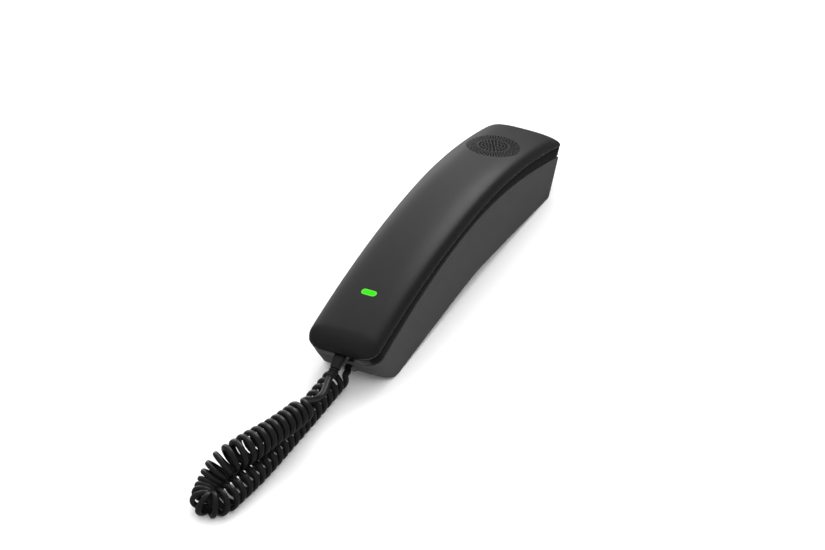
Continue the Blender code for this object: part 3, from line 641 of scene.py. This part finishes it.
def make_back():
    """The handset's back cover: a crowned thin shell with the grille and the lens window."""
    bm = bmesh.new()
    sheets = []
    # The lowest rows of the outer sheet take the lighter material, a painted highlight along the
    # edge.
    highlight_rows = len(EDGE_LEVELS) - 1
    for inset, edge in ((0.0, EDGE_RADIUS), (WALL, 0.0)):
        rows = [[bm.verts.new(p) for p in back_row(s, inset, edge)] for s in back_stations(inset)]
        count = len(rows[0])
        for row, following in zip(rows, rows[1:]):
            for k in range(count - 1):
                face = bm.faces.new((row[k], row[k + 1], following[k + 1], following[k]))
                if edge and (k < highlight_rows or k >= count - 1 - highlight_rows):
                    face.material_index = 1
        flat = 18       # the ends are closed by strips across the width, and one face on top
        for row in (rows[0], rows[-1]):
            for k in range(flat):
                bm.faces.new((row[k], row[k + 1], row[count - 2 - k], row[count - 1 - k]))
            bm.faces.new(row[flat:count - flat])
        sheets.append(rows)
    outer, inner = sheets
    for end in (0, -1):
        for a, b, c, d in zip(outer, outer[1:], inner, inner[1:]):
            bm.faces.new((a[end], b[end], d[end], c[end]))
    for end in (0, -1):
        bm.faces.new((outer[end][0], outer[end][-1], inner[end][-1], inner[end][0]))
    back = finish(bm, "back_shell", mats=(SHELL_BLACK, PAINTED_EDGE_HIGHLIGHT))

    bm = bmesh.new()
    holes = [(0.0, 0.0)]
    for ring in range(1, GRILLE_RINGS + 1):
        holes += [(ring * RING_SPACING, 2 * math.pi * k / (6 * ring)) for k in range(6 * ring)]
    for distance, angle in holes:
        place = (back_place(GRILLE_Y + distance * math.sin(angle))
                 @ Matrix.Translation((distance * math.cos(angle), 0.0, 0.0)))
        add_turned(bm, place, ((HOLE_RADIUS, -0.004), (HOLE_RADIUS, 0.002)), 10)
    for k in range(SPOKES):
        angle = 2 * math.pi * k / SPOKES
        for distance, length in (ODD_SLOTS if k % 2 else EVEN_SLOTS):
            place = (back_place(GRILLE_Y + distance * math.sin(angle))
                     @ Matrix.Translation((distance * math.cos(angle), 0.0, 0.0))
                     @ Matrix.Rotation(angle, 4, "Z"))
            width = SLOT_WIDENING * distance
            slot = (length, width, 0.45 * width)
            add_prism(bm, place, ((*slot, -0.004), (*slot, 0.002)), 2)
    cut(back, finish(bm, "grille_cutter"))
    bm = bmesh.new()
    window = (LENS_SIZE[0], LENS_SIZE[1], 0.0020)
    add_prism(bm, back_place(LENS_Y), ((*window, -0.004), (*window, 0.003)), 8)
    cut(back, finish(bm, "window_cutter"))
    smooth(back)
    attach(back, "handset")
    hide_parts("handset_back_cover")


def make_lens():
    """The lit lens: a low dome with a lighter rim."""
    bm = bmesh.new()
    width, depth = LENS_SIZE[0] - 0.00024, LENS_SIZE[1] - 0.00024
    levels = ((0.0, -0.0020), (0.0, -0.0001), (0.00006, 0.00002), (0.00020, 0.00008),
              (0.00050, 0.00012), (0.00110, 0.00017), (0.00170, 0.00019))
    rings = [(width - 2 * i, depth - 2 * i, max(0.0003, 0.00188 - i), z) for i, z in levels]
    rows = add_prism(bm, back_place(LENS_Y), rings, 8)
    core = set(rows[4] + rows[5] + rows[6])
    for face in bm.faces:
        face.material_index = 0 if all(v in core for v in face.verts) else 1
    finish(bm, "lens_cap", "handset", (GREEN, GREEN_RIM), ("status_lens",), 50)


SYMBOLS = {"star": "*", "hash": "#"}
LEGEND_HALF = 0.00006       # half the thickness of a printed sign
MEMBRANE_Z = 0.0392 - 0.0004 - 0.0010       # underside of the key membrane, below its board


def legend(text, size):
    """A generic sign as a thin mesh centred on the origin."""
    font = bpy.data.curves.new("legend", "FONT")
    font.body = text
    font.size = size
    font.align_x = "CENTER"
    font.align_y = "CENTER"
    font.extrude = LEGEND_HALF
    font.resolution_u = 3
    obj = bpy.data.objects.new("legend", font)
    bpy.context.scene.collection.objects.link(obj)
    graph = bpy.context.evaluated_depsgraph_get()
    mesh = bpy.data.meshes.new_from_object(obj.evaluated_get(graph))
    bpy.data.objects.remove(obj)
    return mesh


def bar(bm, place, centre, size):
    """A small flat bar of a printed sign."""
    outline = (*size, min(size) * 0.3)
    add_prism(bm, place @ Matrix.Translation((*centre, 0.0)),
              ((*outline, -LEGEND_HALF), (*outline, LEGEND_HALF)), 3)


def make_keys():
    """Dished keys with rounded edges, each with its collar, stem and generic sign."""
    width, depth = KEY_SIZE
    inner = WALL + GAP
    for row, names in enumerate(KEY_ROWS):
        for col, name in enumerate(names):
            place = key_place(row, col)
            stem = max(MEMBRANE_Z - 2 * GAP - place.to_translation().z, inner + 0.0008)
            bm = bmesh.new()
            levels = [(width - 0.0032, depth - 0.0030, 0.0009, -KEY_PROUD + 0.00016),
                      (width - 0.0022, depth - 0.0020, 0.0011, -KEY_PROUD + 0.00008)]
            for inset, drop in edge_round(0.0005, 5):
                levels.append((width - 2 * inset, depth - 2 * inset, 0.0013, -KEY_PROUD + drop))
            levels += [(width, depth, 0.0013, inner),
                       (width + 0.0010, depth + 0.0016, 0.0013, inner),
                       (width + 0.0010, depth + 0.0016, 0.0013, inner + 0.0005),
                       (0.0026, 0.0026, 0.0005, inner + 0.0005), (0.0026, 0.0026, 0.0005, stem)]
            add_prism(bm, place, levels)
            bmesh.ops.recalc_face_normals(bm, faces=bm.faces)
            printed = len(bm.faces)
            # Signs face out of the handset's inner face, upright with the earpiece at the top.
            sign = (place @ Matrix.Translation((0.0, 0.0, -KEY_PROUD + 0.00012))
                    @ Matrix.Rotation(math.pi, 4, "Y"))
            if name.startswith("volume"):
                bar(bm, sign, (0.0, 0.0), (0.0024, 0.0005))
                if name == "volume_up":
                    bar(bm, sign, (0.0, 0.0), (0.0005, 0.0024))
            elif name == "mute":
                tilted = sign @ Matrix.Rotation(math.radians(45), 4, "Z")
                bar(bm, tilted, (0.0, 0.0), (0.0030, 0.0004))
                section = ((0.00105, -LEGEND_HALF), (0.00140, -LEGEND_HALF),
                           (0.00140, LEGEND_HALF), (0.00105, LEGEND_HALF))
                rings = [[sign @ Vector((r * math.cos(a), r * math.sin(a), z)) for r, z in section]
                         for a in (2 * math.pi * k / 28 for k in range(28))]
                add_rings(bm, rings + rings[:1], caps=False)
            else:
                mesh = legend(SYMBOLS.get(name, name), 0.0040)
                mesh.transform(sign)
                bm.from_mesh(mesh)
                bpy.data.meshes.remove(mesh)
            bm.faces.ensure_lookup_table()
            for face in bm.faces[printed:]:
                face.material_index = 1
            bmesh.ops.remove_doubles(bm, verts=bm.verts, dist=1e-7)
            finish(bm, f"keycap_{name}", f"key_{name}", (KEY_BLACK, LEGEND),
                   (f"key_{name}",), 40)


# ---------------------------------------------------------------- cord
def spline(points, step):
    """Evenly spaced points on a Catmull-Rom curve through points of any dimension."""
    route = [Vector(p) for p in points]
    route = [2 * route[0] - route[1]] + route + [2 * route[-1] - route[-2]]
    fine = []
    for a, b, c, d in zip(route, route[1:], route[2:], route[3:]):
        for k in range(16):
            u = k / 16
            fine.append(0.5 * (2 * b + (c - a) * u + (2 * a - 5 * b + 4 * c - d) * u ** 2
                               + (3 * b - a - 3 * c + d) * u ** 3))
    fine.append(route[-2])
    lengths = [0.0]
    for a, b in zip(fine, fine[1:]):
        lengths.append(lengths[-1] + (b - a).length)
    count = max(2, round(lengths[-1] / step))
    even = []
    index = 0
    for k in range(count + 1):
        target = lengths[-1] * k / count
        while index < len(fine) - 2 and lengths[index + 1] < target:
            index += 1
        span = lengths[index + 1] - lengths[index]
        even.append(fine[index].lerp(fine[index + 1], (target - lengths[index]) / span))
    return even


def knots(s, table):
    """Smooth value at s between a table's knots."""
    for (a, low), (b, high) in zip(table, table[1:]):
        if s <= b:
            u = min(1.0, max(0.0, (s - a) / (b - a)))
            return low + (high - low) * u * u * (3 - 2 * u)
    return table[-1][1]


def coil_points(per_turn=14):
    """The wire through the left-handed coil: centre, outward direction, share of the way, wire."""
    step = 0.0002
    route = spline(COIL_ROUTE, step)
    raw = [0.0]
    for k in range(1, len(route)):
        raw.append(raw[-1] + 2 * math.pi * step / knots(k * step, PITCHES))
    sweep = (START_ANGLE - END_ANGLE) % (2 * math.pi)
    turns = round((raw[-1] - sweep) / (2 * math.pi))
    scale = (2 * math.pi * turns + sweep) / raw[-1]
    total = raw[-1] * scale
    count = round(total / (2 * math.pi) * per_turn)
    points = []
    index = 0
    for k in range(count + 1):
        phase = total * k / count
        while index < len(route) - 2 and raw[index + 1] * scale < phase:
            index += 1
        span = (raw[index + 1] - raw[index]) * scale
        u = min(1.0, max(0.0, (phase - raw[index] * scale) / span))
        centre = route[index].lerp(route[index + 1], u)
        ahead = route[min(index + 8, len(route) - 1)] - route[max(index - 8, 0)]
        ahead.normalize()
        side = ahead.cross(Vector((0.0, 0.0, 1.0))).normalized()
        up = side.cross(ahead)
        # side points to -X on the way out, so angles run from +X over the top.
        angle = START_ANGLE - phase
        out = -side * math.cos(angle) + up * math.sin(angle)
        radius = knots((index + u) * step, RADII)
        wire = (knots((index + u) * step, WIDTHS), COIL_THICKNESS)
        centre.z = max(centre.z, radius + COIL_THICKNESS / 2)
        points.append((centre + out * radius, out, (index + u) / (len(route) - 1), wire))
    return points


def cord_line():
    """The whole cord in rows: centre, thin direction, share of the coil passed, width, thickness."""
    thin = Vector((0.0, 0.25, 1.0)).normalized()
    line = [(Vector(p), thin, 0.0, LEAD_WIRE) for p in HANDSET_LEAD]
    line += coil_points()
    line += [(Vector(p), Vector((0.0, 0.0, 1.0)), 1.0, LEAD_WIRE) for p in BASE_LEAD]
    return [(*point, *out, share, *wire) for point, out, share, wire in line]


def resample(rows, per_gap=3):
    """Points between control rows on Catmull-Rom curves, the same number in each gap."""
    head = [tuple(2 * a - b for a, b in zip(rows[0], rows[1]))]
    tail = [tuple(2 * a - b for a, b in zip(rows[-1], rows[-2]))]
    route = head + rows + tail
    fine = []
    for a, b, c, d in zip(route, route[1:], route[2:], route[3:]):
        for k in range(per_gap):
            u = k / per_gap
            fine.append(tuple(0.5 * (2 * q + (r - p) * u + (2 * p - 5 * q + 4 * r - s) * u ** 2
                                     + (3 * q - p - 3 * r + s) * u ** 3)
                              for p, q, r, s in zip(a, b, c, d)))
    fine.append(rows[-1])
    return fine


def make_cord():
    """The flat cord as one tube: both leads and the coil between them."""
    fine = resample(cord_line())
    centres = [Vector(row[:3]) for row in fine]
    outs = [Vector(row[3:6]).normalized() for row in fine]
    section = []
    sides = 14
    for k in range(sides):
        angle = 2 * math.pi * k / sides
        c, s = math.cos(angle), math.sin(angle)
        section.append((math.copysign(abs(c) ** 0.82, c) / 2,
                        math.copysign(abs(s) ** 0.90, s) / 2))
    rings = []
    weights = []
    for k, centre in enumerate(centres):
        ahead = (centres[min(k + 1, len(centres) - 1)] - centres[max(k - 1, 0)]).normalized()
        across = ahead.cross(outs[k]).normalized()
        thin = across.cross(ahead)
        share, wide, deep = fine[k][6:]
        rings.append([centre + across * a * wide + thin * b * deep for a, b in section])
        rise = min(1.0, max(0.0, 1.0 - share / RISING_SHARE))
        weights += [rise * rise * (3 - 2 * rise)] * sides
    bm = bmesh.new()
    add_rings(bm, rings)
    cord = finish(bm, "cord", mats=(JACKET,))
    smooth(cord, 60)
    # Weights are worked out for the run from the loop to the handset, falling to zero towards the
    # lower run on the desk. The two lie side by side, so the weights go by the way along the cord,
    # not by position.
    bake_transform(cord)
    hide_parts("cord_coil", "cord_handset_lead", "cord_base_lead")
    return cord, centres


def make_relief():
    """The moulded strain relief: a tapered block with three ribs towards its tip."""
    line = ((-0.1130, 0.0252), (-0.1150, 0.0242), (-0.1191, 0.0220), (-0.1243, 0.0189),
            (-0.1275, 0.0177), (-0.1300, 0.0171))
    step = 0.00025
    route = spline([(0.0, y, z) for y, z in line], step)
    length = step * (len(route) - 1)
    bm = bmesh.new()
    rings = []
    for k, centre in enumerate(route):
        s = k * step
        u = s / length
        wide = 0.0064 - 0.0017 * max(0.0, (u - 0.35) / 0.65)
        thick = 0.0036 - 0.0002 * u
        if s < 0.0018:          # the flange inside the handset
            wide = 0.0090
        left = length - s
        for groove in (0.0016, 0.0034, 0.0052):
            depth = max(0.0, 1 - abs(left - groove) / 0.00045)
            wide -= 0.0019 * min(1.0, depth * 1.6)
            thick -= 0.0011 * min(1.0, depth * 1.6)
        if left < 0.0004:
            wide -= 0.0004
            thick -= 0.0003
        ahead = (route[min(k + 1, len(route) - 1)] - route[max(k - 1, 0)]).normalized()
        lift = Vector((1.0, 0.0, 0.0)).cross(ahead).normalized()
        rings.append([centre + Vector((x, 0.0, 0.0)) + lift * z
                      for x, z in rounded(wide, thick, 0.0011, 4)])
    add_rings(bm, rings)
    return finish(bm, "strain_relief", "handset", (JACKET,),
                  ("cord_strain_relief",), 40)


# ---------------------------------------------------------------- carried-over CAD nodes
# The start of a node's name, and its finish. The first match counts.
CAD_FINISHES = (
    ("base_screw", NICKEL), ("handset_screw", NICKEL), ("hook_spring", NICKEL),
    ("hook_switch", DARK), ("base_bottom_cover", DARK), ("foot", RUBBER), ("main_board", BOARD),
    ("handset_board", BOARD), ("ballast", STEEL), ("counterweight", STEEL),
    ("earpiece_receiver", STEEL), ("ringer_speaker", DARK), ("earpiece_gasket", RUBBER),
    ("ringer_gasket", RUBBER), ("microphone_boot", RUBBER), ("microphone", CAN),
    ("keypad_membrane", RUBBER), ("cord_jack", DARK), ("network_jack", DARK),
    ("computer_jack", DARK), ("cord_plug", PLUG), ("status_led", GREEN),
)


def finish_cad_nodes():
    """Give every CAD node that stays its procedural material."""
    for name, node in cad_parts.items():
        for start, mat in CAD_FINISHES:
            if name.startswith(start):
                for slot in node.material_slots:
                    slot.material = mat
                break


# ---------------------------------------------------------------- stage
def make_stage():
    """Pale floor, soft studio light and the camera."""
    scene = bpy.context.scene
    scene.view_settings.view_transform = "Standard"
    floor_mat = grained("pale_floor", (0.93, 0.93, 0.93), 0.9, 0.0, 100.0, 0.0)
    bm = bmesh.new()
    count = 8
    size = 8.0
    marks = [size * (k / count - 0.5) for k in range(count + 1)]
    add_rings(bm, [[Vector((x, y, 0.0)) for x in marks] for y in marks], caps=False, closed=False)
    floor = finish(bm, "floor", mats=(floor_mat,))
    floor.visible_glossy = False        # keeps the white floor out of the gloss

    world = bpy.data.worlds.new("studio")
    scene.world = world
    world.use_nodes = True
    back = world.node_tree.nodes["Background"]
    back.inputs["Color"].default_value = (1.0, 1.0, 1.0, 1.0)
    back.inputs["Strength"].default_value = 0.22
    for name, azimuth, elevation, strength, angle, shines in LIGHTS:
        light = bpy.data.lights.new(name, "SUN")
        light.energy = strength
        light.angle = math.radians(angle)
        lamp = bpy.data.objects.new(name, light)
        a, e = math.radians(azimuth), math.radians(elevation)
        towards = Vector((math.sin(a) * math.cos(e), math.cos(a) * math.cos(e), math.sin(e)))
        lamp.rotation_euler = towards.to_track_quat("Z", "Y").to_euler()
        lamp.visible_glossy = shines
        scene.collection.objects.link(lamp)

    camera = bpy.data.cameras.new("camera")
    camera.lens = 224.9
    camera.sensor_width = 36.0
    camera.clip_start = 0.1
    rig = bpy.data.objects.new("camera", camera)
    rig.location = (1.0350667, -2.1259163, 1.6100646)
    rig.rotation_euler = tuple(math.radians(a) for a in (55.80272407, 0.17202458, 26.16810932))
    scene.collection.objects.link(rig)
    scene.camera = rig


make_base()
make_jack_details()
make_hook()
make_front()
make_back()
make_lens()
make_keys()
cord, centres = make_cord()
relief = make_relief()
finish_cad_nodes()
make_stage()
